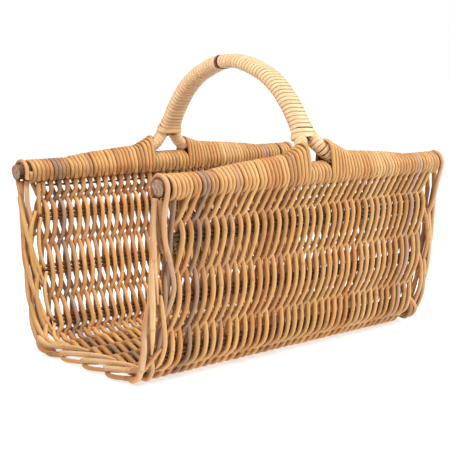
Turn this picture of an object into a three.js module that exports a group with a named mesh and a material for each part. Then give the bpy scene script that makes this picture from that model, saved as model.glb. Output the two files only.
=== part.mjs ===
// Open-ended woven log basket with a forked arch handle.
// Millimetres. +Z up, X along the rails, floor at z = 0, origin at the middle of the footprint.
import * as THREE from "three";

// ---- driving dimensions ----
const RAIL_Y = 168.7; // rail axis, each side of the middle
const RAIL_Z = 271.8; // rail axis height
const POLE_R = 12; // bare rail pole
const FRONT_POLE_HALF = 282; // half length of the front pole
const REAR_POLE_HALF = 288; // the rear pole stands further out of its binding
const BINDING_T = 4.5; // thickness of the cane binding on a rail
const BINDING_HALF = 255; // the binding runs to here on each rail
const BINDING_INNER = 46; // the outer bindings start here, beside the handle's legs
const CENTRE_BINDING_HALF = 20; // short binding between the handle's legs
const WEAVE_HALF = 252; // half length of the woven skin
const WEAVE_T = 19; // outer cane, rod and inner cane together
const WALL_TOP = 254.4; // the weave meets the rail binding here
const CORNER_TOP = 62; // wall panels and corner panels meet here
const BASE_HALF = 97; // flat part of the base
const ROD_R = 2.7; // rods that run along the basket through the weave
const ROD_STEP = 6.4; // spacing of the three rods in a bundle
const ROD_HALF = 269.8; // half length of a rod
const CANE_R = 3.3; // border canes
const GAP = 0.3; // clearance between touching pieces
const CORE_R = 6.8; // the two handle rods
const CORE_X = 7.1; // they lie side by side in the arch
const WRAP_T = 3.1; // cane wrapped round the handle
const ARCH_LEAN = 6; // the arch leans slightly towards the rear

// Middle surface of the weave, half a section: [distance from the middle, height].
const PROFILE = [
  [168.7, 272], [166.6, 245], [164.6, 220], [162.3, 195], [159.6, 165], [156, 135], [151, 105],
  [145.2, 80], [139.6, 58], [133.5, 38], [124, 21.5], [111.5, 12.2], [97, 9.5],
];

// Half of the arch's centre line, from its top down to a rail: [distance from the middle, height].
const ARCH = [
  [20, 433], [40, 428.4], [60, 421.3], [80, 412.6], [97, 401.2], [112, 388.5], [124.5, 374.5],
  [135.5, 360], [145, 345], [152.5, 333],
];

// One leg and foot: [distance from the arch's plane, distance from the middle, height].
const LEG = [
  [7.6, 157.8, 324], [11.2, 161.6, 317], [16.4, 164.6, 310.5], [23, 167, 303.5], [31, 168.4, 297.3],
];
const FOOT = [[45, 6.8], [68, 6], [95, 5.1], [122, 4.1], [150, 3]]; // [x, radius of the tapered foot]

const cane = new THREE.MeshStandardMaterial({ color: 0xc99a61, roughness: 0.55, metalness: 0 });
const paleCane = new THREE.MeshStandardMaterial({ color: 0xe0b878, roughness: 0.5, metalness: 0 });
const bark = new THREE.MeshStandardMaterial({ color: 0x7a5638, roughness: 0.85, metalness: 0 });
const rodWood = new THREE.MeshStandardMaterial({ color: 0x8a5c35, roughness: 0.7, metalness: 0 });

const basket = new THREE.Group();
basket.name = "log_basket";

function add(name, geometry, material, parent = basket) {
  const mesh = new THREE.Mesh(geometry, material);
  mesh.name = name;
  parent.add(mesh);
  return mesh;
}

// Turns a triangle soup the right way out, judged by its signed volume.
function closedGeometry(points, triangles) {
  let volume = 0;
  for (const [a, b, c] of triangles) {
    volume += points[a].dot(new THREE.Vector3().crossVectors(points[b], points[c]));
  }
  const index = triangles.flatMap(([a, b, c]) => (volume < 0 ? [a, c, b] : [a, b, c]));
  const geometry = new THREE.BufferGeometry();
  geometry.setAttribute("position", new THREE.Float32BufferAttribute(points.flatMap((p) => [p.x, p.y, p.z]), 3));
  geometry.setIndex(index);
  geometry.computeVertexNormals();
  return geometry;
}

function sideFaces(first, second, count) {
  const faces = [];
  for (let i = 0; i < count; i++) {
    const j = (i + 1) % count;
    faces.push([first + i, first + j, second + j], [first + i, second + j, second + i]);
  }
  return faces;
}

// A solid skinned over rings of points, closed by a flat fan at each end.
function solidOfRings(rings) {
  const count = rings[0].length;
  const points = rings.flat();
  const faces = [];
  for (let r = 0; r + 1 < rings.length; r++) {
    faces.push(...sideFaces(r * count, (r + 1) * count, count));
  }
  const last = (rings.length - 1) * count;
  for (let i = 1; i + 1 < count; i++) {
    faces.push([0, i + 1, i], [last, last + i, last + i + 1]);
  }
  return closedGeometry(points, faces);
}

// A sleeve skinned over outer and inner rings, open at both ends.
function sleeveOfRings(outer, inner) {
  const count = outer[0].length;
  const inside = outer.length * count;
  const points = [...outer.flat(), ...inner.flat()];
  const faces = [];
  for (let r = 0; r + 1 < outer.length; r++) {
    faces.push(...sideFaces(r * count, (r + 1) * count, count));
    faces.push(...sideFaces(inside + r * count, inside + (r + 1) * count, count).map(([a, b, c]) => [a, c, b]));
  }
  const last = (outer.length - 1) * count;
  faces.push(...sideFaces(0, inside, count).map(([a, b, c]) => [a, c, b]));
  faces.push(...sideFaces(last, inside + last, count));
  return closedGeometry(points, faces);
}

// Rings of a round or oval section along a path, carried without twist.
function ringsAlong(path, sides, radii, across = new THREE.Vector3(1, 0, 0)) {
  const tangents = path.map((_, i) => {
    const before = path[Math.max(i - 1, 0)];
    const after = path[Math.min(i + 1, path.length - 1)];
    return after.clone().sub(before).normalize();
  });
  let normal = across.clone();
  return path.map((centre, i) => {
    normal = normal.clone().addScaledVector(tangents[i], -normal.dot(tangents[i])).normalize();
    const side = new THREE.Vector3().crossVectors(tangents[i], normal);
    const [a, b] = [].concat(typeof radii === "function" ? radii(i) : radii);
    return Array.from({ length: sides }, (_, k) => {
      const turn = (2 * Math.PI * k) / sides;
      return centre.clone()
        .addScaledVector(normal, a * Math.cos(turn))
        .addScaledVector(side, (b ?? a) * Math.sin(turn));
    });
  });
}

// Smooth path through control points, with the same number of steps in each span.
function smoothPath(points, steps) {
  const curve = new THREE.CatmullRomCurve3(points, false, "centripetal");
  return curve.getPoints((points.length - 1) * steps);
}

// ---- rails ----
function poleGeometry(half) {
  const geometry = new THREE.CylinderGeometry(POLE_R, POLE_R, 2 * half, 16);
  geometry.rotateZ(Math.PI / 2);
  return geometry;
}

for (const [side, sign, half] of [["front", -1, FRONT_POLE_HALF], ["rear", 1, REAR_POLE_HALF]]) {
  const pole = add(`${side}_rail_pole`, poleGeometry(half), bark);
  pole.position.set(0, sign * RAIL_Y, RAIL_Z);
}

// Radius of the handle's tapered foot at a distance along the rail, or 0 past its tip.
function footRadius(x) {
  for (let i = 0; i + 1 < FOOT.length; i++) {
    const [x0, r0] = FOOT[i];
    const [x1, r1] = FOOT[i + 1];
    if (x <= x1) {
      return r0 + ((r1 - r0) * (x - x0)) / (x1 - x0);
    }
  }
  return 0;
}

function footHeight(radius) {
  return POLE_R + 0.5 + radius;
}

// Section of the binding: it hugs the pole and the handle's foot lying on top of it.
function bindingRing(x, y, thickness, sides) {
  const foot = footRadius(Math.abs(x));
  const poleR = POLE_R + (foot > 0 ? 1.1 : 0.4) + thickness;
  const footR = foot > 0 ? foot + 0.9 + thickness : 0;
  const lift = foot > 0 ? footHeight(foot) : 0;
  return Array.from({ length: sides }, (_, k) => {
    const turn = (2 * Math.PI * (k + 0.5)) / sides;
    const onFoot = Math.sin(turn) * lift + footR > poleR;
    const r = onFoot ? footR : poleR;
    return new THREE.Vector3(x, y + r * Math.cos(turn), RAIL_Z + (onFoot ? lift : 0) + r * Math.sin(turn));
  });
}

function bindingGeometry(stations, y) {
  const outer = stations.map((x) => bindingRing(x, y, BINDING_T, 20));
  const inner = stations.map((x) => bindingRing(x, y, 0, 20));
  return sleeveOfRings(outer, inner);
}

for (const [side, sign] of [["front", -1], ["rear", 1]]) {
  const y = sign * RAIL_Y;
  const right = [BINDING_INNER, 68, 95, 122, 149, 165, BINDING_HALF];
  add(`${side}_binding_right`, bindingGeometry(right, y), cane);
  add(`${side}_binding_left`, bindingGeometry(right.map((x) => -x).reverse(), y), cane);
  const outer = [-CENTRE_BINDING_HALF, CENTRE_BINDING_HALF].map((x) => {
    return bindingRing(1000, y, BINDING_T, 20).map((p) => p.clone().setX(x));
  });
  const inner = [-CENTRE_BINDING_HALF, CENTRE_BINDING_HALF].map((x) => {
    return bindingRing(1000, y, 0, 20).map((p) => p.clone().setX(x));
  });
  add(`${side}_binding_centre`, sleeveOfRings(outer, inner), cane);
}

// ---- woven skin: five panels with round channels for the rods ----
const halfSection = new THREE.SplineCurve(PROFILE.map(([y, z]) => new THREE.Vector2(y, z)));
const SECTION = halfSection.getPoints(6000);

// Points of the middle surface between two heights, thinned to a few steps.
function stretch(zHigh, zLow, steps) {
  const kept = SECTION.filter((p) => p.y <= zHigh && p.y >= zLow);
  return Array.from({ length: steps + 1 }, (_, i) => kept[Math.round((i * (kept.length - 1)) / steps)]);
}

function offsetPoints(points, distance) {
  return points.map((p, i) => {
    const before = points[Math.max(i - 1, 0)];
    const after = points[Math.min(i + 1, points.length - 1)];
    const along = after.clone().sub(before).normalize();
    return new THREE.Vector2(p.x - along.y * distance, p.y + along.x * distance);
  });
}

// Extrudes a flat outline, given as (distance from the middle, height), along the basket.
function panelGeometry(outline, holes) {
  const shape = new THREE.Shape(outline);
  for (const [x, y] of holes) {
    const hole = new THREE.Path();
    hole.absarc(x, y, ROD_R + GAP, 0, 2 * Math.PI, true);
    shape.holes.push(hole);
  }
  const geometry = new THREE.ExtrudeGeometry(shape, { depth: 2 * WEAVE_HALF, bevelEnabled: false, curveSegments: 10 });
  geometry.translate(0, 0, -WEAVE_HALF);
  return geometry;
}

// Stands an extruded panel up: its outline's first axis becomes +Y or -Y.
function placePanel(name, geometry, sign) {
  const turn = new THREE.Matrix4().makeBasis(
    new THREE.Vector3(0, sign, 0),
    new THREE.Vector3(0, 0, 1),
    new THREE.Vector3(sign, 0, 0),
  );
  geometry.applyMatrix4(turn);
  add(name, geometry, cane);
}

function nearestOnSection(height) {
  return SECTION.reduce((best, p) => (Math.abs(p.y - height) < Math.abs(best.y - height) ? p : best));
}

// Centres of the three rods of a bundle, stacked along the wall.
function bundleAt(height) {
  return [1, 0, -1].map((step) => {
    const p = nearestOnSection(height + step * ROD_STEP);
    return [p.x, p.y];
  });
}

const WALL_BUNDLES = [bundleAt(203), bundleAt(120.5)];
const CORNER_BUNDLE = bundleAt(43);
const BASE_BUNDLES = [-84, -28, 28, 84].map((y) => [-1, 0, 1].map((step) => [y + step * ROD_STEP, WEAVE_T / 2]));

function stripOutline(points) {
  const outer = offsetPoints(points, WEAVE_T / 2);
  const inner = offsetPoints(points, -WEAVE_T / 2);
  return [...inner, ...outer.reverse()];
}

const wallLine = stretch(WALL_TOP, CORNER_TOP, 6);
const wallOutline = stripOutline(wallLine);
const cornerLine = stretch(CORNER_TOP - 0.6, 0, 8);
cornerLine[cornerLine.length - 1] = new THREE.Vector2(BASE_HALF + GAP, WEAVE_T / 2);
const cornerOutline = stripOutline(cornerLine);
// The corner's last edge is square to the flat base.
cornerOutline[8].set(BASE_HALF + GAP, WEAVE_T);
cornerOutline[9].set(BASE_HALF + GAP, 0);
// The wall's top edge is level under the rail binding.
wallOutline[0].y = WALL_TOP;
wallOutline[wallOutline.length - 1].y = WALL_TOP;

for (const [side, sign] of [["front", -1], ["rear", 1]]) {
  placePanel(`${side}_wall_weave`, panelGeometry(wallOutline, WALL_BUNDLES.flat()), sign);
  placePanel(`${side}_corner_weave`, panelGeometry(cornerOutline, CORNER_BUNDLE), sign);
}
const baseOutline = [[-BASE_HALF, 0], [BASE_HALF, 0], [BASE_HALF, WEAVE_T], [-BASE_HALF, WEAVE_T]];
placePanel(
  "base_weave",
  panelGeometry(baseOutline.map(([x, y]) => new THREE.Vector2(x, y)), BASE_BUNDLES.flat()),
  1,
);

// ---- rods along the basket, in bundles of three ----
function rod(name, y, z) {
  const geometry = new THREE.CylinderGeometry(ROD_R, ROD_R, 2 * ROD_HALF, 8);
  geometry.rotateZ(Math.PI / 2);
  add(name, geometry, rodWood).position.set(0, y, z);
}

for (const [side, sign] of [["front", -1], ["rear", 1]]) {
  [...WALL_BUNDLES, CORNER_BUNDLE].forEach((bundle, b) => {
    bundle.forEach(([y, z], k) => rod(`${side}_rod_${b + 1}${"abc"[k]}`, sign * y, z));
  });
}
BASE_BUNDLES.forEach((bundle, b) => {
  bundle.forEach(([y, z], k) => rod(`base_rod_${b + 1}${"abc"[k]}`, y, z));
});

// ---- border canes round the two open ends ----
function borderPath(offset, top) {
  const half = offsetPoints(stretch(top, 0, 11), offset);
  const ys = [BASE_HALF * 0.66, BASE_HALF * 0.33, 0, -BASE_HALF * 0.33, -BASE_HALF * 0.66];
  const level = WEAVE_T / 2 - offset;
  const front = half.map((p) => [-p.x, p.y]);
  const rear = half.map((p) => [p.x, p.y]).reverse();
  return [...front, ...ys.map((y) => [-y, level]), ...rear];
}

for (const [end, sign] of [["left", -1], ["right", 1]]) {
  for (const [layer, offset, x, top] of [["outer", 6.1, 262, 250], ["inner", -6.9, 262, 250], ["middle", 0, 274, 258.8]]) {
    const path = borderPath(offset, top).map(([y, z]) => new THREE.Vector3(sign * x, y, z));
    add(`border_${end}_${layer}`, solidOfRings(ringsAlong(path, 8, CANE_R)), paleCane);
  }
  for (const [side, rail] of [["front", -1], ["rear", 1]]) {
    const geometry = new THREE.TorusGeometry(POLE_R + 0.6 + CANE_R, CANE_R, 6, 14);
    geometry.rotateY(Math.PI / 2);
    add(`${side}_end_loop_${end}`, geometry, cane).position.set(sign * 262, rail * RAIL_Y, RAIL_Z);
  }
}

// ---- handle: two rods side by side, forking to a foot on each rail ----
function leaned(y, z) {
  const lean = ARCH_LEAN * THREE.MathUtils.smoothstep(z, 298, 325);
  return y + lean;
}

// Control points from the front foot's tip over the arch to the rear foot's tip.
function corePoints(sign) {
  const feet = FOOT.map(([x, r]) => [x, RAIL_Y, RAIL_Z + footHeight(r)]).reverse();
  const legUp = LEG.map((p) => [...p]).reverse();
  const archUp = ARCH.map(([y, z]) => [CORE_X, y, z]).reverse();
  const half = [...feet, ...legUp, ...archUp];
  const front = half.map(([x, y, z]) => new THREE.Vector3(sign * x, leaned(-y, z), z));
  const rear = half.map(([x, y, z]) => new THREE.Vector3(sign * x, leaned(y, z), z)).reverse();
  const top = new THREE.Vector3(sign * CORE_X, leaned(0, 434.5), 434.5);
  return { points: [...front, top, ...rear], count: half.length };
}

const STEPS = 2;
for (const [side, sign] of [["left", -1], ["right", 1]]) {
  const { points, count } = corePoints(sign);
  const path = smoothPath(points, STEPS);
  const total = points.length - 1;
  const radius = (i) => {
    const span = Math.min(i, total * STEPS - i) / STEPS;
    return span >= 4 ? CORE_R : THREE.MathUtils.lerp(FOOT[4][1], CORE_R, span / 4);
  };
  add(`handle_core_${side}`, solidOfRings(ringsAlong(path, 8, radius)), cane);
  // The leg's wrapping runs from just above the rail to just below the crotch.
  const low = 5 * STEPS;
  const high = 8 * STEPS;
  for (const [end, from, to] of [["front", low, high], ["rear", total * STEPS - high, total * STEPS - low]]) {
    const leg = path.slice(from, to + 1);
    const outer = ringsAlong(leg, 12, CORE_R + 0.6 + WRAP_T * 0.8);
    const inner = ringsAlong(leg, 12, CORE_R + 0.6);
    add(`${end}_leg_wrap_${side}`, sleeveOfRings(outer, inner), paleCane);
  }
}

const archHalf = [...ARCH].reverse();
const archPoints = [
  ...archHalf.map(([y, z]) => new THREE.Vector3(0, leaned(-y, z), z)),
  new THREE.Vector3(0, leaned(0, 434.5), 434.5),
  ...[...archHalf].reverse().map(([y, z]) => new THREE.Vector3(0, leaned(y, z), z)),
];
const archPath = smoothPath(archPoints, STEPS);

// Section of the wrapped pair: a rectangle with round ends, lying across the arch.
function pairRings(path, grow) {
  const circle = ringsAlong(path, 12, 1);
  return circle.map((ring, i) => ring.map((p) => {
    const direction = p.clone().sub(path[i]);
    const shift = Math.abs(direction.x) < 1e-6 ? 0 : Math.sign(direction.x) * CORE_X;
    return path[i].clone().addScaledVector(direction, CORE_R + grow).add(new THREE.Vector3(shift, 0, 0));
  }));
}

add("handle_wrap", sleeveOfRings(pairRings(archPath, 0.7 + WRAP_T), pairRings(archPath, 0.7)), paleCane);

export default basket;
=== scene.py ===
import math
import random

import bmesh
import bpy
from mathutils import Matrix, Vector, kdtree, noise


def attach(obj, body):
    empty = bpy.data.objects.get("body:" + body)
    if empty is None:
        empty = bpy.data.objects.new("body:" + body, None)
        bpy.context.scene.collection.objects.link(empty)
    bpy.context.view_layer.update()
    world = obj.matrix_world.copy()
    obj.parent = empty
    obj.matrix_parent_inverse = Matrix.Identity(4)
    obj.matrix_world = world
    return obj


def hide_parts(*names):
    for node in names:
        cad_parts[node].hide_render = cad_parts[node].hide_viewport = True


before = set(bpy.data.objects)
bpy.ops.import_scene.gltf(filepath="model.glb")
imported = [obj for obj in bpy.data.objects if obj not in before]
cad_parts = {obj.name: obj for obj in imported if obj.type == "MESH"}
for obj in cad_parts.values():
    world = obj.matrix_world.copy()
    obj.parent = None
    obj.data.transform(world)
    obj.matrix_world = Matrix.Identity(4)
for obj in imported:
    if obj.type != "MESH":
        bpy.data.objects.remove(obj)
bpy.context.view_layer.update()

# A woven log basket: cane twined in pairs round bundles of rods, hung between two rail poles,
# with a wrapped arch handle. Lengths in this script are millimetres until a mesh is made.
MM = 0.001
RAIL_Y = 168.7
RAIL_Z = 271.8
POLE_R = 12.0
CANE_R = 3.55
ROD_R = 2.7
PAIRS = 36
PAIR_STEP = 14.09
FIRST_PAIR = -249.0
BED = ROD_R + CANE_R + 0.1  # how far off the skin a cane lies where it passes a rod
RAIL_CANE_WIDTH = 3.6  # half the width and half the height of a cane flattened round a rail
RAIL_CANE_HEIGHT = 2.9
RAIL_RISE = 2.9
RAIL_PITCH = 7.15
ROD_SPACING = 5.9
LEAD = 3.2  # how far before or after a crossing's middle a cane passes the wall
EDGE_STEP = 3.2

# Middle line of the woven skin, half a section: distance from the middle, height.
HALF_SECTION = [
    (168.7, 272), (166.6, 245), (164.6, 220), (162.3, 195), (159.6, 165), (156, 135), (151, 105),
    (145.2, 80), (139.6, 58), (133.5, 38), (124, 22.2), (111.5, 13.9), (97, 11.7), (40, 11.7), (0, 11.7),
]
# Half of the arch from its top down to the fork, and one leg and foot beyond it.
ARCH = [(20, 433), (40, 428.4), (60, 421.3), (80, 412.6), (97, 401.2), (112, 388.5), (124.5, 374.5),
        (135.5, 360), (145, 345), (152.5, 333), (156.5, 324), (159.5, 315)]
LEG = [(10.4, 157.8, 324), (13.6, 161.6, 317), (18.0, 164.6, 310.5), (24, 167, 303.8), (32, 168.4, 298.0)]
FOOT = [(45, 6.8), (68, 6.0), (95, 5.1), (122, 4.1), (150, 3.0), (172, 1.8), (196, 0.4)]
ARCH_LEAN = 6.0


# ---------- smooth lines ----------
def smooth_line(knots, step):
    """A centripetal spline through the knots, sampled about every step millimetres."""
    knots = [Vector(k) for k in knots]
    knots = [k for i, k in enumerate(knots) if i == 0 or (k - knots[i - 1]).length > 1e-4]
    ends = [knots[0] * 2 - knots[1]] + knots + [knots[-1] * 2 - knots[-2]]
    line = []
    for i in range(1, len(ends) - 2):
        a, b, c, d = ends[i - 1:i + 3]
        t1 = math.sqrt((b - a).length)
        t2 = t1 + math.sqrt((c - b).length)
        t3 = t2 + math.sqrt((d - c).length)
        count = max(1, round((c - b).length / step))
        for k in range(count):
            t = t1 + (t2 - t1) * k / count
            ab = a * ((t1 - t) / t1) + b * (t / t1)
            bc = b * ((t2 - t) / (t2 - t1)) + c * ((t - t1) / (t2 - t1))
            cd = c * ((t3 - t) / (t3 - t2)) + d * ((t - t2) / (t3 - t2))
            abc = ab * ((t2 - t) / t2) + bc * (t / t2)
            bcd = bc * ((t3 - t) / (t3 - t1)) + cd * ((t - t1) / (t3 - t1))
            line.append(abc * ((t2 - t) / (t2 - t1)) + bcd * ((t - t1) / (t2 - t1)))
    line.append(knots[-1])
    return line


section = smooth_line([(y, z, 0) for y, z in HALF_SECTION], 1.0)
run = [0.0]
for p, q in zip(section, section[1:]):
    run.append(run[-1] + (q - p).length)
HALF = run[-1]


def along(height):
    """Distance down the skin from rail height to a height on the wall."""
    best = min(range(len(section)), key=lambda i: abs(section[i].y - height))
    return run[best]


def skin(s):
    """Point and outward direction of the skin's middle line, from the front rail to the rear rail."""
    side = -1.0
    if s > HALF:
        s = 2 * HALF - s
        side = 1.0
    low, high = 0, len(run) - 1
    while high - low > 1:
        mid = (low + high) // 2
        if run[mid] <= s:
            low = mid
        else:
            high = mid
    t = (s - run[low]) / (run[high] - run[low])
    p = section[low].lerp(section[high], t)
    a = section[max(low - 3, 0)]
    b = section[min(high + 3, len(section) - 1)]
    way = (b - a).normalized()
    return Vector((0, side * p.x, p.y)), Vector((0, side * -way.y, way.x))


def on_skin(x, s, lift):
    if s < 0 or s > 2 * HALF:
        raise ValueError("off the skin")
    p, out = skin(s)
    return Vector((x, p.y + out.y * lift, p.z + out.z * lift)), out


skin_points = kdtree.KDTree(len(section))
for i, p in enumerate(section):
    skin_points.insert(p, i)
skin_points.balance()


WALL_TOP = 248.0
BINDING_FOOT = 262.0
FULL_DEPTH = 6.8  # this far from the skin's middle, the weave counts as open and depth adds no more painted shade


def painted_shade_level(p, height_share):
    """Painted shade mask: 0 in the depth of the weave, 1 on its open face; the sides of each cane and the underside
    of a cane on the rails are painted darker too. height_share runs from -1 under a cane to 1 on top.
    """
    # painted light and shade on the rails: a cane's top lighter, its underside darker
    painted_top_light = 0.4 + 0.5 * height_share
    if p.z > BINDING_FOOT:
        return painted_top_light
    depth = skin_points.find((abs(p.y), p.z, 0))[2]
    # painted shade in the weave: darker deep between canes and rods, and darker on each cane's sides
    painted_weave_shade = (0.66 + 0.34 * min(1.0, depth / FULL_DEPTH)) * (0.58 + 0.42 * abs(height_share))
    t = max(0.0, (p.z - WALL_TOP) / (BINDING_FOOT - WALL_TOP))
    return painted_weave_shade * (1 - t) + painted_top_light * t


# ---------- canes ----------
CANE_TONES = [  # colours of single canes, with how often each is met
    ((0.72, 0.43, 0.18), 10), ((0.67, 0.375, 0.15), 9), ((0.74, 0.46, 0.20), 6), ((0.63, 0.32, 0.12), 4),
    ((0.72, 0.45, 0.165), 3), ((0.64, 0.37, 0.19), 3), ((0.58, 0.32, 0.14), 4), ((0.76, 0.50, 0.25), 2),
]
ODD_TONES = {2: (0.40, 0.25, 0.15), 33: (0.60, 0.38, 0.24)}  # a grey-brown pair and a pinkish one
PALE = (0.78, 0.52, 0.26)
HAIRPIN_TONE = (0.70, 0.42, 0.22)
PALE_YELLOW = (0.76, 0.50, 0.25)
HONEY = (0.74, 0.50, 0.28)
ROD_TONE = (0.26, 0.125, 0.055)
SEAM_TONE = (0.22, 0.13, 0.07)
# colour of the painted shade in the weave's depth and on cane sides and undersides
PAINTED_SHADE_BROWN = (0.36, 0.15, 0.04, 1)


def pick_tone(rng):
    total = sum(w for _, w in CANE_TONES)
    r = rng.random() * total
    for tone, w in CANE_TONES:
        r -= w
        if r <= 0:
            break
    k = 1 + rng.uniform(-0.08, 0.08)
    return tone[0] * k, tone[1] * k * 0.985, tone[2] * k * 0.88


def new_cane_mesh():
    bm = bmesh.new()
    bm.verts.layers.float_vector.new("grain")
    bm.verts.layers.float_color.new("tint")
    # the open layer holds the painted shade mask
    bm.verts.layers.float.new("open")
    return bm


def lay_cane(bm, line, outs, width, height, tone, rng, sides=10, joints=True, tips=(0, 0), flat=1.0):
    """Bends a straight cane, cut into rings, along a line.
    outs point away from what the cane lies on: its height is measured that way and its width across it."""
    grain = bm.verts.layers.float_vector["grain"]
    tint = bm.verts.layers.float_color["tint"]
    painted_shade_open = bm.verts.layers.float["open"]
    first = len(bm.verts)
    ends = bmesh.ops.create_cone(bm, cap_ends=True, segments=sides, radius1=1, radius2=1, depth=2)["verts"]
    long_edges = {e for v in ends for e in v.link_edges if abs(e.verts[0].co.z - e.verts[1].co.z) > 1}
    last = len(line) - 1
    bmesh.ops.subdivide_edges(bm, edges=list(long_edges), cuts=last - 1, use_grid_fill=True)
    bm.verts.ensure_lookup_table()
    seed = rng.uniform(0, 1000)
    next_joint = rng.uniform(30, 160)
    gone = [0.0]
    for p, q in zip(line, line[1:]):
        gone.append(gone[-1] + (q - p).length)
    rings = []
    for i, p in enumerate(line):
        ahead = (line[min(i + 1, last)] - line[max(i - 1, 0)]).normalized()
        out = (outs[i] - ahead * outs[i].dot(ahead)).normalized()
        across = ahead.cross(out)
        swell = 1 + 0.06 * noise.noise(Vector((gone[i] * 0.03, seed, 0)))
        shade = 1 + 0.20 * noise.noise(Vector((gone[i] * 0.010, seed + 50, 0)))
        if joints:
            if gone[i] > next_joint + 8:
                next_joint = gone[i] + rng.uniform(70, 220)
            swell += 0.09 * math.exp(-((gone[i] - next_joint) / 2.4) ** 2)
            shade -= 0.25 * math.exp(-((gone[i] - next_joint) / 1.8) ** 2)
        for tip, rest in zip(tips, (gone[i], gone[-1] - gone[i])):
            if tip:
                swell *= 0.38 + 0.62 * math.sin(min(1.0, rest / tip) * math.pi / 2)
        rings.append((across * (width(i) * swell * MM), out * (height(i) * swell * MM), p * MM,
                      (tone[0] * shade, tone[1] * shade, tone[2] * shade, 1), width(i), height(i)))
    for v in bm.verts[first:]:
        i = round((v.co.z + 1) / 2 * last)
        across, out, place, colour, w, h = rings[i]
        x, y = (math.copysign(abs(c) ** flat, c) for c in v.co.xy)
        v[grain] = (x * w, y * h, gone[i] + seed * 7)
        v[tint] = colour
        v.co = place + across * x + out * y
        # store the painted shade mask for the material
        v[painted_shade_open] = painted_shade_level(v.co / MM, y)


def lay_round(bm, line, outs, radius, tone, rng, **more):
    lay_cane(bm, line, outs, lambda i: radius, lambda i: radius, tone, rng, **more)


def blend_knots(knots, outs, step):
    """A smooth line through the knots, with the outward direction at each of its points."""
    line = smooth_line(knots, step)
    carried, j = [], 0
    for p in line:
        while j + 2 < len(knots) and (p - knots[j + 1]).dot(knots[j + 2] - knots[j]) > 0:
            j += 1
        a, b = knots[j], knots[j + 1]
        t = max(0.0, min(1.0, (p - a).dot(b - a) / max((b - a).length_squared, 1e-9)))
        carried.append(outs[j].lerp(outs[j + 1], t).normalized())
    return line, carried


def finish_piece(name, bm, materials, replaces=()):
    bmesh.ops.reverse_faces(bm, faces=bm.faces)  # laying a cane mirrors it, so its faces are turned outward here
    for face in bm.faces:
        face.smooth = len(face.verts) < 6
        face.material_index = 0 if face.smooth or len(materials) == 1 else 1
    mesh = bpy.data.meshes.new(name)
    bm.to_mesh(mesh)
    bm.free()
    piece = bpy.data.objects.new(name, mesh)
    bpy.context.collection.objects.link(piece)
    for material in materials:
        mesh.materials.append(material)
    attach(piece, "root")
    if replaces:
        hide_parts(*replaces)
    return piece


# ---------- materials ----------
def new_material(name):
    material = bpy.data.materials.new(name)
    material.use_nodes = True
    tree = material.node_tree
    tree.nodes.clear()
    out = tree.nodes.new("ShaderNodeOutputMaterial")
    shader = tree.nodes.new("ShaderNodeBsdfPrincipled")
    tree.links.new(shader.outputs[0], out.inputs[0])
    return material, tree, shader


def stretched_noise(tree, source, scale, detail):
    """Noise read at source, stretched by scale."""
    place = tree.nodes.new("ShaderNodeMapping")
    place.inputs["Scale"].default_value = scale
    tree.links.new(source, place.inputs["Vector"])
    grit = tree.nodes.new("ShaderNodeTexNoise")
    grit.inputs["Scale"].default_value = 1.0
    grit.inputs["Detail"].default_value = detail
    tree.links.new(place.outputs[0], grit.inputs["Vector"])
    return grit.outputs[0]


def spread(tree, value, low, high, to_low, to_high):
    node = tree.nodes.new("ShaderNodeMapRange")
    for name, number in (("From Min", low), ("From Max", high), ("To Min", to_low), ("To Max", to_high)):
        node.inputs[name].default_value = number
    tree.links.new(value, node.inputs["Value"])
    return node.outputs[0]


def mixed(tree, kind, factor, a, b):
    """Two colours mixed; factor, a and b are sockets or plain values."""
    node = tree.nodes.new("ShaderNodeMix")
    node.data_type = "RGBA"
    node.blend_type = kind
    for socket, value in ((node.inputs[0], factor), (node.inputs[6], a), (node.inputs[7], b)):
        if isinstance(value, bpy.types.NodeSocket):
            tree.links.new(value, socket)
        else:
            socket.default_value = value
    return node.outputs[2]


def cane_material(name, streaks, bump_depth, smooth, rough, tan=0.5, painted_shade_range=(0.22, 1.05)):
    """Cane with its tone from the tint, streaks and stains from the grain, and painted shade brown where the open
    mask is low: deep in the weave, on cane sides and on cane undersides.
    """
    material, tree, shader = new_material(name)
    tint = tree.nodes.new("ShaderNodeAttribute")
    tint.attribute_name = "tint"
    grain = tree.nodes.new("ShaderNodeAttribute")
    grain.attribute_name = "grain"
    along_grain = grain.outputs["Vector"]
    streak = stretched_noise(tree, along_grain, (1.3, 1.3, 0.04), 6)
    fleck = stretched_noise(tree, along_grain, (2.2, 2.2, 0.5), 3)
    stain = stretched_noise(tree, along_grain, (0.12, 0.12, 0.03), 3)
    colour = mixed(tree, "MULTIPLY", 1.0, tint.outputs["Color"], spread(tree, streak, 0.32, 0.68, *streaks))
    colour = mixed(tree, "MULTIPLY", spread(tree, stain, 0.45, 0.72, 0, tan), colour, (1.0, 0.74, 0.5, 1))
    colour = mixed(tree, "MULTIPLY", spread(tree, fleck, 0.62, 0.72, 0, 0.35), colour, (0.55, 0.42, 0.32, 1))
    # painted shade: brown multiplied in where the open mask is low
    painted_shade_open = tree.nodes.new("ShaderNodeAttribute")
    painted_shade_open.attribute_name = "open"
    colour = mixed(tree, "MULTIPLY", spread(tree, painted_shade_open.outputs["Fac"], *painted_shade_range, 1, 0), colour, PAINTED_SHADE_BROWN)
    tree.links.new(colour, shader.inputs["Base Color"])
    tree.links.new(spread(tree, streak, 0.3, 0.7, smooth, rough), shader.inputs["Roughness"])
    bump = tree.nodes.new("ShaderNodeBump")
    bump.inputs["Strength"].default_value = 0.5
    bump.inputs["Distance"].default_value = bump_depth
    tree.links.new(streak, bump.inputs["Height"])
    tree.links.new(bump.outputs[0], shader.inputs["Normal"])
    shader.inputs["Specular IOR Level"].default_value = 0.4
    return material


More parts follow.
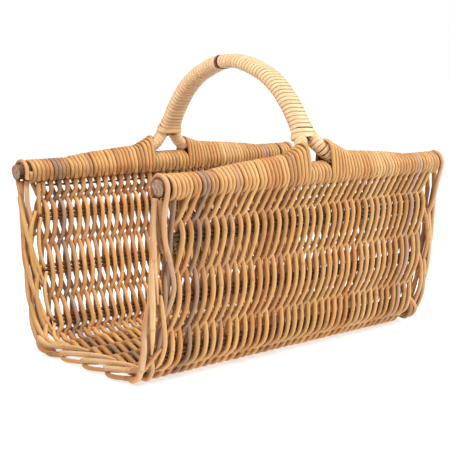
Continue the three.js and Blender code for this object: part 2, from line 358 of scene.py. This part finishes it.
def end_grain_material():
    """Sawn pole ends: a cloudy brown with dark pores."""
    material, tree, shader = new_material("pole end grain")
    grain = tree.nodes.new("ShaderNodeAttribute")
    grain.attribute_name = "grain"
    place = grain.outputs["Vector"]
    cloud = stretched_noise(tree, place, (0.25, 0.25, 0.25), 4)
    pores = stretched_noise(tree, place, (1.6, 1.6, 0.2), 2)
    ramp = tree.nodes.new("ShaderNodeValToRGB")
    ramp.color_ramp.elements[0].position = 0.35
    ramp.color_ramp.elements[0].color = (0.17, 0.095, 0.055, 1)
    ramp.color_ramp.elements[1].position = 0.65
    ramp.color_ramp.elements[1].color = (0.40, 0.25, 0.15, 1)
    tree.links.new(cloud, ramp.inputs[0])
    colour = mixed(tree, "MULTIPLY", spread(tree, pores, 0.60, 0.66, 0, 0.8), ramp.outputs[0], (0.2, 0.12, 0.08, 1))
    tree.links.new(colour, shader.inputs["Base Color"])
    shader.inputs["Roughness"].default_value = 0.8
    return material


def cut_end_material():
    material, tree, shader = new_material("cut cane end")
    place = tree.nodes.new("ShaderNodeTexCoord").outputs["Object"]
    pith = stretched_noise(tree, place, (1400, 1400, 1400), 2)
    colour = mixed(tree, "MIX", spread(tree, pith, 0.4, 0.62, 0, 1), (0.78, 0.58, 0.36, 1), (0.42, 0.26, 0.14, 1))
    tree.links.new(colour, shader.inputs["Base Color"])
    shader.inputs["Roughness"].default_value = 0.8
    return material


CANE = cane_material("rattan cane", (0.74, 1.12), 0.0004, 0.40, 0.62)
STRIP = cane_material("split cane strip", (0.86, 1.06), 0.00025, 0.34, 0.5, tan=0.35, painted_shade_range=(0.1, 0.9))
ROD = cane_material("bark-brown rod", (0.6, 1.25), 0.0006, 0.6, 0.85)
BARK = cane_material("pole bark", (0.45, 1.35), 0.0011, 0.7, 0.92)
CUT_END = cut_end_material()
END_GRAIN = end_grain_material()
rng = random.Random(41)

# ---------- rails: where a turn of cane lies ----------
# The leg as the binding meets it: distance from the middle, radius, height above the rail's axis.
LEG_UNDER = [(23, 9.4, 31.7), (31, 9.3, 26.6), (45, 8.0, 22.6), (60, 6.5, 19.8), (68, 6.0, 18.5)]


LEG_FROM = {-1: 23, 1: 34}  # where the binding first meets a leg, at the front and at the rear
LEG_TO = LEG_UNDER[-1][0]
HIGHER_LEG = 4.0  # one leg of each fork stands this much higher than the other


def foot_at(side, x):
    """Radius, and height above the rail's axis, of the handle's leg or foot under the binding."""
    higher = HIGHER_LEG if side * x < 0 else 0.0
    x = abs(x)
    if x < LEG_FROM[side] or x > FOOT[-1][0]:
        return None
    for (x0, r0, h0), (x1, r1, h1) in zip(LEG_UNDER, LEG_UNDER[1:]):
        if x <= x1:
            t = (x - x0) / (x1 - x0)
            return r0 + (r1 - r0) * t, h0 + (h1 - h0) * t + higher * min(1.0, (LEG_TO - x) / 30)
    for (x0, r0), (x1, r1) in zip(FOOT, FOOT[1:]):
        if x <= x1:
            r = r0 + (r1 - r0) * (x - x0) / (x1 - x0)
            return r, POLE_R + 0.5 + r


def on_rail(side, x, turn, rise):
    """Point on the rail's binding: turn 0 is outermost, 90 the top, 180 the inside."""
    a = math.radians(turn)
    out = Vector((0, side * math.cos(a), math.sin(a)))
    r = POLE_R + rise
    centre = Vector((x, side * RAIL_Y, RAIL_Z))
    foot = foot_at(side, x)
    if foot and math.sin(a) * foot[1] + foot[0] > POLE_R:
        r = foot[0] + rise
        centre.z += foot[1]
    return centre + out * r, out


# ---------- the twined pairs ----------
WALL_BUNDLES = [along(z) for z in (203, 120.5, 43)]
WALL_CROSSINGS = [along(z) for z in (228, 160, 80, 25)]
bundles = WALL_BUNDLES + [HALF - 84, HALF - 28, HALF + 28, HALF + 84] + [2 * HALF - s for s in WALL_BUNDLES[::-1]]
crossings = WALL_CROSSINGS + [HALF - 56, HALF, HALF + 56] + [2 * HALF - s for s in WALL_CROSSINGS[::-1]]

# How far to the side a cane stands at each knot from one crossing to the next: outside the walls, inside them,
# and under the base, where the cane on top has the same mirrored.
OUTER_SWING = (1.3, 3.8, 5.4, 4.8, 2.0, -1.4, -5.0)
INNER_SWING = (-5.0, -5.6, -5.9, -5.8, -4.7, -2.6, 1.3)
BASE_SWING = (3.4, 4.0, 3.0, -3.0, -4.0, -3.8, -3.4)


def band_knots(i, outer, slack):
    """Knots of one cane where it passes one bundle: distance down the skin, sideways, lift."""
    start, end = crossings[i], crossings[i + 1]
    bundle = bundles[i]
    lead = LEAD if outer else -LEAD
    start, end = start - lead, end + lead
    hug = 9.0
    upper, lower = bundle - hug - start, end - bundle - hug
    if i > 6:
        places = [start, start + 0.2 * upper, start + 0.55 * upper, bundle - hug, bundle + hug,
                  bundle + hug + 0.55 * lower]
        lifts = [0.0, 2.6, 4.5, BED, BED, 4.0] if outer else [0.0, 1.8, 3.7, BED, BED, 3.6]
        swing = [-u for u in reversed(OUTER_SWING if outer else INNER_SWING)]
    else:
        places = [start, start + 0.45 * upper, bundle - hug, bundle + hug, bundle + hug + 0.45 * lower,
                  bundle + hug + 0.8 * lower]
        lifts = [0.0, 4.0, BED, BED, 4.5, 2.6] if outer else [0.0, 3.6, BED, BED, 3.7, 1.8]
        swing = OUTER_SWING if outer else INNER_SWING
        if i > 2:
            swing = BASE_SWING if outer else [-u for u in BASE_SWING]
    sign = 1 if outer else -1
    return [(s, swing[k] + slack, sign * lift) for k, (s, lift) in enumerate(zip(places, lifts))]


WINDING_START = -0.6  # sideways from the middle of the cane's pair
WINDING_WIDTH = 9.3  # how far along the rail a winding goes
RAIL_EXIT = 10.0  # how far beside the middle of its pair the outer cane comes off the rail


def winding(side, x0, rise):
    """One and a third turns round a rail: from its inside, over it and under it, to its top again."""
    return [on_rail(side, x0 - side * (WINDING_START + WINDING_WIDTH * (210 - turn) / 480), turn, rise)
            for turn in range(210, -271, -30)]


# where the outer cane of a pair leaves the rail and slants down to the first crossing: sideways, down, lift
TAIL = [(8.4, 8, 14.2), (6.2, 18, 10.4), (3.6, 27.5, 7.8), (0.9, 36, 5.6), (-2.0, WALL_CROSSINGS[0] - 1, 3.0)]


def pair_loop(x0, slack, rise):
    """Both canes of a pair are one cane: down the wall, round the rear rail, back, and round the front rail."""
    there, back_again = [], []
    for first_outer, knots in ((True, there), (False, back_again)):
        def put(x, s, lift):
            knots.append(on_skin(x, s, lift))

        c1 = crossings[0]
        if first_outer:
            knots.extend(on_rail(-1, x0 + RAIL_EXIT - turn / 330 * 4, turn, rise) for turn in (60, 30, 0))
            for u, s, lift in TAIL:
                put(x0 + u, s, lift)
        else:
            knots.extend(reversed(winding(-1, x0, rise)))
            for u, s, lift in ((-1.5, 20, -8), (-3.2, 30, -5.0), (-2.8, c1 - 9, -2.6)):
                put(x0 + u, s, lift)
        outer = not first_outer
        for i in range(len(bundles)):
            for s, u, lift in band_knots(i, outer, slack[i]):
                put(x0 + u, s, lift)
            outer = not outer
        end = 2 * HALF
        if outer:
            put(x0 + 4.5, end - c1 - LEAD, 0)
            for u, s, lift in TAIL[::-1]:
                put(x0 - u, end - s, lift)
            knots.extend(on_rail(1, x0 - RAIL_EXIT + turn / 330 * 4, turn, rise) for turn in (0, 30, 60))
        else:
            for u, s, lift in ((-1.3, end - c1 + LEAD, 0), (2.8, end - c1 + 9, -2.6), (3.2, end - 30, -5.0),
                               (1.5, end - 20, -8)):
                put(x0 + u, s, lift)
            knots.extend(winding(1, x0, rise))
    ring = there + back_again[::-1]
    cut = len(there) // 2
    return ring[cut:] + ring[:cut + 1]


def round_rail(p):
    """1 where a cane lies round a rail, 0 on the walls."""
    return max(0.0, min(1.0, (p.z - 250) / 12))  # the change takes the last 12 mm below the rail


WEAVES = ("front_wall_weave", "rear_wall_weave", "base_weave", "front_corner_weave", "rear_corner_weave")
BINDINGS = tuple(f"{side}_binding_{part}" for side in ("front", "rear") for part in ("left", "centre", "right"))
for k in range(PAIRS):
    x0 = FIRST_PAIR + PAIR_STEP * k + 4.5 * math.sin(math.pi * k / (PAIRS - 1)) + rng.uniform(-0.8, 0.8)
    tone = pick_tone(rng)
    if k in ODD_TONES:
        tone = ODD_TONES[k]
    radius = CANE_R * rng.uniform(0.92, 1.07)
    knots, outs = zip(*pair_loop(x0, [rng.uniform(-0.8, 0.8) for _ in bundles], RAIL_RISE))
    line, carried = blend_knots(knots, outs, 3.4)
    bm = new_cane_mesh()
    lay_cane(bm, line, carried, lambda i: radius + (RAIL_CANE_WIDTH - radius) * round_rail(line[i]),
             lambda i: radius + (RAIL_CANE_HEIGHT - radius) * round_rail(line[i]), tone, rng)
    finish_piece(f"twined_pair_{k + 1:02d}", bm, [CANE], WEAVES + BINDINGS if k == 0 else ())

# ---------- the last turns round each rail, out to the pole ends ----------
for side, name in ((-1, "front"), (1, "rear")):
    for start, turns, hand in ((-270.5, 3.0, "left"), (256.6, 2.1, "right")):
        start, hand = (start, hand) if side < 0 else (-start, {"left": "right", "right": "left"}[hand])
        way = -side * RAIL_PITCH / 360
        sweep = [210 - t for t in range(0, int(turns * 360), 30)]
        spots = [on_rail(side, start + way * (210 - turn), turn, RAIL_RISE) for turn in sweep]
        tail = [on_skin(start + side * off, s if side < 0 else 2 * HALF - s, lift)
                for off, s, lift in ((1.5, 66, -4), (0.5, 42, -6.5), (0, 22, -9))]
        points = tail + spots
        line, carried = blend_knots([q[0] for q in points], [q[1] for q in points], 3.4)
        bm = new_cane_mesh()
        lay_cane(bm, line, carried, lambda i: RAIL_CANE_WIDTH, lambda i: 3.1, pick_tone(rng), rng)
        finish_piece(f"{name}_{hand}_rail_end_turns", bm, [CANE, CUT_END])

# ---------- rods ----------
ROD_NAMES = [f"front_rod_{n}" for n in "123"] + [f"base_rod_{n}" for n in "1234"] + [f"rear_rod_{n}" for n in "321"]
for name, s0 in zip(ROD_NAMES, bundles):
    for letter, step in zip("abc", (-1, 0, 1)):
        reach = rng.uniform(250, 257)
        knots, outs = [], []
        for k in range(13):
            x = -reach + 2 * reach * k / 12
            p, out = on_skin(x, s0 + step * ROD_SPACING + rng.uniform(-0.3, 0.3), rng.uniform(-0.3, 0.3))
            knots.append(p)
            outs.append(out)
        line, carried = blend_knots(knots, outs, 9)
        bm = new_cane_mesh()
        radius = ROD_R * rng.uniform(0.97, 1.08)
        tone = tuple(c * rng.uniform(0.8, 1.25) for c in ROD_TONE)
        lay_round(bm, line, carried, radius, tone, rng)
        finish_piece(f"{name}_{letter}_bark", bm, [ROD, CUT_END], (f"{name}{letter}",))

# a thin rod under the rear rail, behind the canes that go over it
line = [Vector((x, RAIL_Y - 3.6, 248 + 1.5 * math.sin(x / 60))) for x in range(-250, 251, 10)]
bm = new_cane_mesh()
lay_round(bm, line, [Vector((0, -1, 0))] * len(line), 1.6, ROD_TONE, rng, sides=8)
finish_piece("rear_rail_thin_rod", bm, [ROD, CUT_END])

# ---------- poles ----------
POLE_RINGS = 60
POLE_SIDES = 28
for side, name, half, tone in ((-1, "front", 282, (0.36, 0.24, 0.15)), (1, "rear", 288, (0.26, 0.17, 0.10))):
    line = [Vector((-half + 2 * half * k / POLE_RINGS, side * RAIL_Y, RAIL_Z)) for k in range(POLE_RINGS + 1)]
    bm = new_cane_mesh()
    lay_cane(bm, line, [Vector((0, 0, 1))] * len(line), lambda i: POLE_R - 0.4, lambda i: POLE_R - 0.4, tone, rng,
             sides=POLE_SIDES, joints=False)
    for v in bm.verts:
        lump = noise.noise(v.co * 60) * 0.7 + noise.noise(v.co * 260) * 0.35
        away = Vector((0, v.co.y - side * RAIL_Y * MM, v.co.z - RAIL_Z * MM)).normalized()
        v.co += away * lump * MM * 0.9
    ends = [f for f in bm.faces if len(f.verts) == POLE_SIDES]
    bmesh.ops.inset_individual(bm, faces=ends, thickness=0.9 * MM, depth=0.5 * MM)
    finish_piece(f"{name}_rail_pole_bark", bm, [BARK, END_GRAIN], (f"{name}_rail_pole",))

# ---------- handle ----------


def lean(y, z):
    """The arch leans a little towards the rear above its fork."""
    t = max(0.0, min(1.0, (z - 298) / 27))
    return y + ARCH_LEAN * t * t * (3 - 2 * t)


arch_half = [Vector((0, y, z)) for y, z in ARCH]
arch_knots = [Vector((0, -p.y, p.z)) for p in arch_half[::-1]] + [Vector((0, 0, 434.5))] + arch_half
arch_line = smooth_line([Vector((0, lean(p.y, p.z), p.z)) for p in arch_knots], 1.0)
arch_run = [0.0]
for p, q in zip(arch_line, arch_line[1:]):
    arch_run.append(arch_run[-1] + (q - p).length)


def wind_strip(bm, line, section, pitch, half_width, half_height, tone, rng, start=0.0, end=None, steps=22):
    """A flat strip wound round a line. section(s, angle) says where the strip's middle lies and which way it faces,
    each as (sideways, outward) from the line."""
    gone = [0.0]
    for p, q in zip(line, line[1:]):
        gone.append(gone[-1] + (q - p).length)
    end = gone[-1] if end is None else end
    turns = (end - start) / pitch
    count = int(turns * steps)
    path, outs = [], []
    j = 0
    for k in range(count + 1):
        s = start + (end - start) * k / count
        while j + 2 < len(gone) and gone[j + 1] < s:
            j += 1
        t = (s - gone[j]) / (gone[j + 1] - gone[j])
        p = line[j].lerp(line[j + 1], t)
        ahead = (line[min(j + 2, len(line) - 1)] - line[max(j - 1, 0)]).normalized()
        side_way = Vector((1, 0, 0)) - ahead * ahead.x
        side_way.normalize()
        out_way = side_way.cross(ahead)
        angle = 2 * math.pi * k / steps
        (dx, dz), (nx, nz) = section(s, angle)
        path.append(p + side_way * dx + out_way * dz)
        outs.append((side_way * nx + out_way * nz).normalized())
    lay_cane(bm, path, outs, lambda i: half_width, lambda i: half_height, tone, rng, joints=False, flat=0.6)


FLARE_REACH = 34  # how far from the arch's ends its two cores start to part


def twin_core(half_gap, radius, length=0.0, flare=0.0):
    """Section of a strip laid over two round cores side by side, which spread by flare towards both ends."""
    def section(s, angle):
        c, d = math.cos(angle), math.sin(angle)
        near = max(0.0, 1 - min(s, length - s) / FLARE_REACH) if flare else 0.0
        x = math.copysign(half_gap + flare * near * near, c) * min(1.0, abs(c) * 2.4)
        return (x + (radius + 0.04 * flare * near) * c, radius * d), (c, d)
    return section


ARCH_LENGTH = arch_run[-1]
STRIP_PITCH = 6.4
STRIP_SIZE = (3.1, 1.25)  # half the width, half the thickness
SEAM_GAP = 3.6
COLLAR_AT = 10.0  # from the end of the arch to the middle of its collar
SEAM = ARCH_LENGTH * 0.545  # where one strip ends and the next begins
over_cores = twin_core(7.4, 9.3, ARCH_LENGTH, 9.6)
bm = new_cane_mesh()
wind_strip(bm, arch_line, over_cores, STRIP_PITCH, *STRIP_SIZE, HONEY, rng, start=9, end=SEAM - SEAM_GAP)
finish_piece("handle_cane_wrap", bm, [STRIP, CUT_END], ("handle_wrap",))
bm = new_cane_mesh()
wind_strip(bm, arch_line, over_cores, STRIP_PITCH, *STRIP_SIZE, HONEY, rng, start=SEAM + SEAM_GAP,
           end=ARCH_LENGTH - 9)
finish_piece("handle_cane_wrap_rear", bm, [STRIP, CUT_END])
bm = new_cane_mesh()
wind_strip(bm, arch_line, twin_core(7.4, 9.5), 3.0, 1.3, 1.5, SEAM_TONE, rng, start=SEAM - 1.4, end=SEAM + 1.4)
finish_piece("handle_seam_ring", bm, [CANE, CUT_END])
for side, at in (("front", COLLAR_AT), ("rear", ARCH_LENGTH - COLLAR_AT)):
    bm = new_cane_mesh()
    wind_strip(bm, arch_line, twin_core(12.4, 10.0), 5.0, 3.4, 0.9, PALE, rng, start=at - 2.5, end=at + 2.5)
    finish_piece(f"{side}_fork_collar", bm, [STRIP, CUT_END])

for side, name in ((-1, "front"), (1, "rear")):
    for end, hand in ((-1, "left"), (1, "right")):
        knots = [Vector((end * x, side * y, z)) for x, y, z in LEG]
        leg = [Vector((p.x, lean(p.y, p.z), p.z)) for p in knots]
        top = Vector((end * 8.2, lean(side * 152.5, 333), 333))
        foot = [Vector((end * x, side * RAIL_Y, RAIL_Z + POLE_R + 0.5 + r)) for x, r in FOOT]
        core = smooth_line([top] + leg + foot, 4)
        bm = new_cane_mesh()
        lay_round(bm, core, [Vector((0, 0, 1))] * len(core), 7.2, PALE, rng, joints=False, tips=(0, 150))
        finish_piece(f"{name}_{hand}_handle_foot", bm, [CANE, CUT_END])
        stout = side < 0 < end  # the leg that carries on most nearly in line with the arch
        start = leg[0].lerp(leg[1], 0.05 if side * end < 0 else 0.35)
        wrap = smooth_line([start] + leg[1:] + [Vector((end * 37, side * RAIL_Y, 293.5))], 1.0)
        bm = new_cane_mesh()
        wind_strip(bm, wrap, twin_core(0.0, 9.6 if stout else 8.5), 5.9, 3.2, 1.2, HONEY, rng)
        finish_piece(f"{name}_{hand}_leg_cane_wrap", bm, [STRIP, CUT_END],
                     (f"{name}_leg_wrap_{hand}",))

for end, hand in ((-1, "left"), (1, "right")):
    line = [p + Vector((end * 7.1, 0, 0)) for p in arch_line[::5]]
    bm = new_cane_mesh()
    lay_round(bm, line, [Vector((1, 0, 0))] * len(line), 7.9, PALE, rng, joints=False)
    finish_piece(f"{hand}_handle_core_cane", bm, [CANE, CUT_END], (f"handle_core_{hand}",))

# ---------- edges of the open ends ----------


def edge_cane(bm, half, knots, radius, tone, tips=(0, 0)):
    """A cane along an open end. half is 1 for the front and -1 for its half turn at the rear.
    Knots are (distance out from the middle, distance down from the rail, lift)."""
    points, outs = [], []
    for x, s, lift in knots:
        p, out = on_skin(x, s, lift)
        if half < 0:
            p.x, p.y, out.y = -p.x, -p.y, -out.y
        points.append(p)
        outs.append(out)
    line, carried = blend_knots(points, outs, EDGE_STEP)
    lay_round(bm, line, carried, radius, tone, rng, tips=tips)


def hairpin(name, half, x0, tone, replaces):
    """The cane bent over a pole end, up the inside of the wall and down its outside."""
    inside = ((0.972, 86, -1), (0.985, 68, -5.5), (1.0, 45, -8), (1.004, 22, -11.5))
    outside = ((1.004, 20, 12), (1.0, 40, 9), (0.99, 60, 7.5), (0.97, 78, 5), (0.945, 98, 2))
    points = [on_skin(x0 * t, s, lift) for t, s, lift in inside]
    points += [on_rail(-1, x0 * 1.004, turn, 3.6) for turn in range(195, -16, -30)]
    points += [on_skin(x0 * t, s, lift) for t, s, lift in outside]
    points = [(p.copy(), out.copy()) for p, out in points]
    if half < 0:
        for p, out in points:
            p.x, p.y, out.y = -p.x, -p.y, -out.y
    line, carried = blend_knots([p for p, _ in points], [out for _, out in points], EDGE_STEP)
    bm = new_cane_mesh()
    lay_round(bm, line, carried, 3.6, tone, rng)
    finish_piece(name, bm, [CANE, CUT_END], replaces)


S1, S2, S3 = WALL_BUNDLES  # how far down the wall each bundle of rods lies
LEFT_EDGE = [  # knots, radius, tone, tips
    ([(-262, 14, 9), (-262, 40, 6), (-263, 70, 5), (-262, 110, 2), (-259, 150, 1)],
     3.6, (0.34, 0.22, 0.14), (0, 30)),
    ([(-266, S2 - 40, 1), (-264, S2, 3), (-264, S2 + 50, 3), (-266, S2 + 100, 2)],
     3.6, (0.45, 0.28, 0.16), (10, 30)),
    ([(-286, 13, 0), (-288, 40, 1), (-286, 80, 1.5), (-283, 115, 2.5), (-277, 152, 4)], 4.0, PALE_YELLOW, (0, 40)),
    ([(-270, S1 - 12, 0), (-270, S1, 4), (-262, S1 + 30, 6.5), (-254, S1 + 62, 6.5), (-257, S1 + 84, 6),
      (-265, S1 + 106, 3), (-268, S1 + 120, 0)], 3.4, (0.56, 0.36, 0.22), (0, 20)),
    ([(-282, S1 + 4, -3), (-289, S1 + 40, 2), (-286, S1 + 82, 5), (-281, S1 + 122, 4.5), (-275, S1 + 156, 3)],
     4.2, PALE, (10, 45)),
    ([(-272, S2 - 10, 1), (-270, S2 + 6, 5), (-263, S2 + 36, 6.5), (-258, S2 + 62, 6.5), (-261, S2 + 88, 5),
      (-266, S2 + 102, 1)], 3.4, (0.70, 0.42, 0.18), (0, 20)),
    ([(-283, S2 - 2, -5), (-291, S2 + 34, 0), (-289, S2 + 74, 4), (-284, S2 + 112, 5), (-275, S2 + 142, 4.5)],
     3.9, (0.70, 0.45, 0.24), (10, 30)),
    ([(-276, S3 - 4, 2), (-270, S3 + 14, 5.5), (-262, S3 + 40, 6), (-260, S3 + 62, 5.5), (-266, S3 + 76, 3)],
     3.4, (0.62, 0.38, 0.19), (0, 20)),
]
RIGHT_EDGE = [
    ([(278, 14, 2), (281, 50, 2.5), (283, 95, 2), (285, 135, 1), (283, 166, -1)], 3.8, (0.72, 0.42, 0.17), (0, 40)),
    ([(252, S1 - 8, 1), (257, S1 + 8, 5), (266, S1 + 34, 6.5), (271, S1 + 60, 6), (270, S1 + 88, 4),
      (264, S1 + 112, 1)],
     3.4, (0.70, 0.38, 0.15), (0, 20)),
    ([(266, S1 + 4, 4), (275, S1 + 44, 5), (282, S1 + 84, 4), (286, S1 + 122, 2), (284, S1 + 152, -1)],
     4.0, PALE, (10, 45)),
    ([(256, S2 - 8, 1), (262, S2 + 10, 5), (270, S2 + 36, 6.5), (273, S2 + 60, 6), (269, S2 + 92, 4)],
     3.4, (0.66, 0.37, 0.16), (0, 20)),
    ([(270, S2 + 4, 4.5), (280, S2 + 40, 5), (286, S2 + 78, 3.5), (284, S2 + 112, 2), (276, S2 + 138, 1)],
     3.9, PALE_YELLOW, (10, 30)),
    ([(258, S3 - 4, 3), (268, S3 + 16, 6), (280, S3 + 40, 6), (286, S3 + 56, 5), (279, S3 + 72, 5),
      (262, S3 + 84, 4)],
     3.3, (0.52, 0.28, 0.13), (0, 20)),
]


def inner_arcs(sign, start, stop):
    """Canes on the inside of an edge, as knots, radius and tips: one bowed out from bundle to bundle, one slanting
    past it, and a thin one further in."""
    gap = stop - start
    return [
        ([(sign * 262, start - 8, -3), (sign * 271, start + 8, -6.5), (sign * 277, start + 0.4 * gap, -8),
          (sign * 277, start + 0.75 * gap, -7.5), (sign * 272, start + 1.05 * gap, -6),
          (sign * 262, start + 1.3 * gap, -3)],
         3.6, (0, 20)),
        ([(sign * 286, start - 36, -1), (sign * 284, start, -4), (sign * 277, start + 0.5 * gap, -6),
          (sign * 268, start + 0.95 * gap, -7.5), (sign * 259, start + 1.3 * gap, -6)], 3.8, (8, 45)),
        ([(sign * 254, start + 4, -4), (sign * 259, start + 0.2 * gap, -6), (sign * 262, start + 0.5 * gap, -6.5),
          (sign * 260, start + 0.8 * gap, -6), (sign * 254, start + gap, -4)], 3.2, (0, 12)),
    ]


edge_nodes = {"left": ["border_left_outer", "border_left_inner", "border_left_middle"],
              "right": ["border_right_outer", "border_right_inner", "border_right_middle"]}
for half, front in ((1, "front"), (-1, "rear")):
    for sign, canes in ((-1, LEFT_EDGE), (1, RIGHT_EDGE)):
        hand = "left" if sign * half < 0 else "right"
        hairpin(f"{front}_{hand}_end_hairpin", half, 277 * sign, HAIRPIN_TONE, (f"{front}_end_loop_{hand}",))
        bm = new_cane_mesh()
        for knots, radius, tone, tips in canes:
            edge_cane(bm, half, knots, radius, tone, tips)
        stands_for = edge_nodes[hand] if half > 0 else ()
        finish_piece(f"{front}_{hand}_edge_canes", bm, [CANE, CUT_END], stands_for)
        bm = new_cane_mesh()
        for start, stop in ((S1, S2), (S2, S3), (S3, HALF - 84)):
            for knots, radius, tips in inner_arcs(sign, start, stop):
                edge_cane(bm, half, knots, radius, pick_tone(rng), tips)
        finish_piece(f"{front}_{hand}_inner_edge_canes", bm, [CANE, CUT_END])


def low_loop(s):
    """A cane looping out below the base's edge, from one bundle to the next."""
    return [(-254, s + 8, 3), (-266, s - 2, 5.5), (-280, s - 16, 6), (-287, s - 34, 5), (-285, s - 52, 4),
            (-274, s - 68, 4.5), (-262, s - 82, 4)]


def top_cane(s):
    """A cane slanting in over the base's edge."""
    return [(-286, s - 20, -2.5), (-282, s - 44, -5.5), (-273, s - 74, -7.5), (-262, s - 100, -7.5),
            (-254, s - 116, -5)]


stops = [2 * HALF - S3, HALF + 84, HALF + 28, HALF - 28, HALF - 84]
for half, hand in ((1, "left"), (-1, "right")):
    bm = new_cane_mesh()
    for s in stops:
        edge_cane(bm, half, low_loop(s), 3.4, pick_tone(rng))
    finish_piece(f"base_{hand}_low_loops", bm, [CANE, CUT_END])
    bm = new_cane_mesh()
    for k, s in enumerate(stops[:4]):
        edge_cane(bm, half, top_cane(s), 4.1, PALE if k % 2 else PALE_YELLOW, (0, 40))
    finish_piece(f"base_{hand}_top_canes", bm, [CANE, CUT_END])

# ---------- camera, light, floor: in metres ----------
AZIMUTH = -0.71994
ELEVATION = 0.139535
ROLL = -0.009007
LENS = 85.66
CAMERA_PLACE = (-1.10616, -1.23694, 0.41346)
back = Vector((math.sin(AZIMUTH) * math.cos(ELEVATION), -math.cos(AZIMUTH) * math.cos(ELEVATION),
               math.sin(ELEVATION)))
right = (-back).cross(Vector((0, 0, 1))).normalized()
up = right.cross(-back)
view_right = right * math.cos(ROLL) + up * math.sin(ROLL)
view_up = up * math.cos(ROLL) - right * math.sin(ROLL)
camera_data = bpy.data.cameras.new("camera")
camera_data.sensor_width = 36
camera_data.lens = LENS
camera = bpy.data.objects.new("camera", camera_data)
camera.matrix_world = Matrix((
    (view_right.x, view_up.x, back.x, CAMERA_PLACE[0]),
    (view_right.y, view_up.y, back.y, CAMERA_PLACE[1]),
    (view_right.z, view_up.z, back.z, CAMERA_PLACE[2]),
    (0, 0, 0, 1),
))
bpy.context.collection.objects.link(camera)
bpy.context.scene.camera = camera

# Soft studio surroundings: white to look at, dimmer as a light on the basket.
world = bpy.data.worlds.new("studio")
bpy.context.scene.world = world
world.use_nodes = True
nodes, links = world.node_tree.nodes, world.node_tree.links
soft = nodes["Background"]
soft.inputs["Color"].default_value = (1, 1, 1, 1)
soft.inputs["Strength"].default_value = 0.26
bright = nodes.new("ShaderNodeBackground")
bright.inputs["Color"].default_value = (1, 1, 1, 1)
bright.inputs["Strength"].default_value = 1.0
seen = nodes.new("ShaderNodeLightPath")
either = nodes.new("ShaderNodeMixShader")
links.new(seen.outputs["Is Camera Ray"], either.inputs[0])
links.new(soft.outputs[0], either.inputs[1])
links.new(bright.outputs[0], either.inputs[2])
links.new(either.outputs[0], nodes["World Output"].inputs[0])
bpy.context.scene.view_settings.view_transform = "Standard"


def area_light(name, place, target, size, power, colour=(1, 1, 1)):
    data = bpy.data.lights.new(name, "AREA")
    data.size = size
    data.energy = power
    data.color = colour
    lamp = bpy.data.objects.new(name, data)
    way = Vector(target) - Vector(place)
    lamp.matrix_world = Matrix.Translation(place) @ way.to_track_quat("-Z", "Y").to_matrix().to_4x4()
    bpy.context.collection.objects.link(lamp)


def sun_light(name, place, strength, softness, colour):
    data = bpy.data.lights.new(name, "SUN")
    data.energy = strength
    data.angle = softness
    data.color = colour
    lamp = bpy.data.objects.new(name, data)
    lamp.matrix_world = (-Vector(place)).to_track_quat("-Z", "Y").to_matrix().to_4x4()
    bpy.context.collection.objects.link(lamp)


sun_light("key", (0.86, -0.50, 0.62), 2.5, 0.30, (1, 0.97, 0.92))
area_light("fill", (-2.0, -0.45, 1.2), (0, 0.1, 0.2), 1.0, 26)
area_light("side", (1.3, -1.3, 0.8), (0.15, -0.1, 0.2), 0.5, 9, (1, 0.95, 0.87))
area_light("top", (-0.4, -0.2, 1.5), (0, 0.08, 0.15), 0.7, 14)

floor_material, _, floor_shader = new_material("pale floor")
floor_shader.inputs["Base Color"].default_value = (0.60, 0.62, 0.64, 1)
floor_shader.inputs["Emission Color"].default_value = (1, 1, 1, 1)
floor_shader.inputs["Emission Strength"].default_value = 0.62
floor_shader.inputs["Roughness"].default_value = 0.9
bm = bmesh.new()
bmesh.ops.create_grid(bm, x_segments=1, y_segments=1, size=40)
floor_mesh = bpy.data.meshes.new("floor")
bm.to_mesh(floor_mesh)
bm.free()
floor = bpy.data.objects.new("floor", floor_mesh)
floor_mesh.materials.append(floor_material)
bpy.context.collection.objects.link(floor)
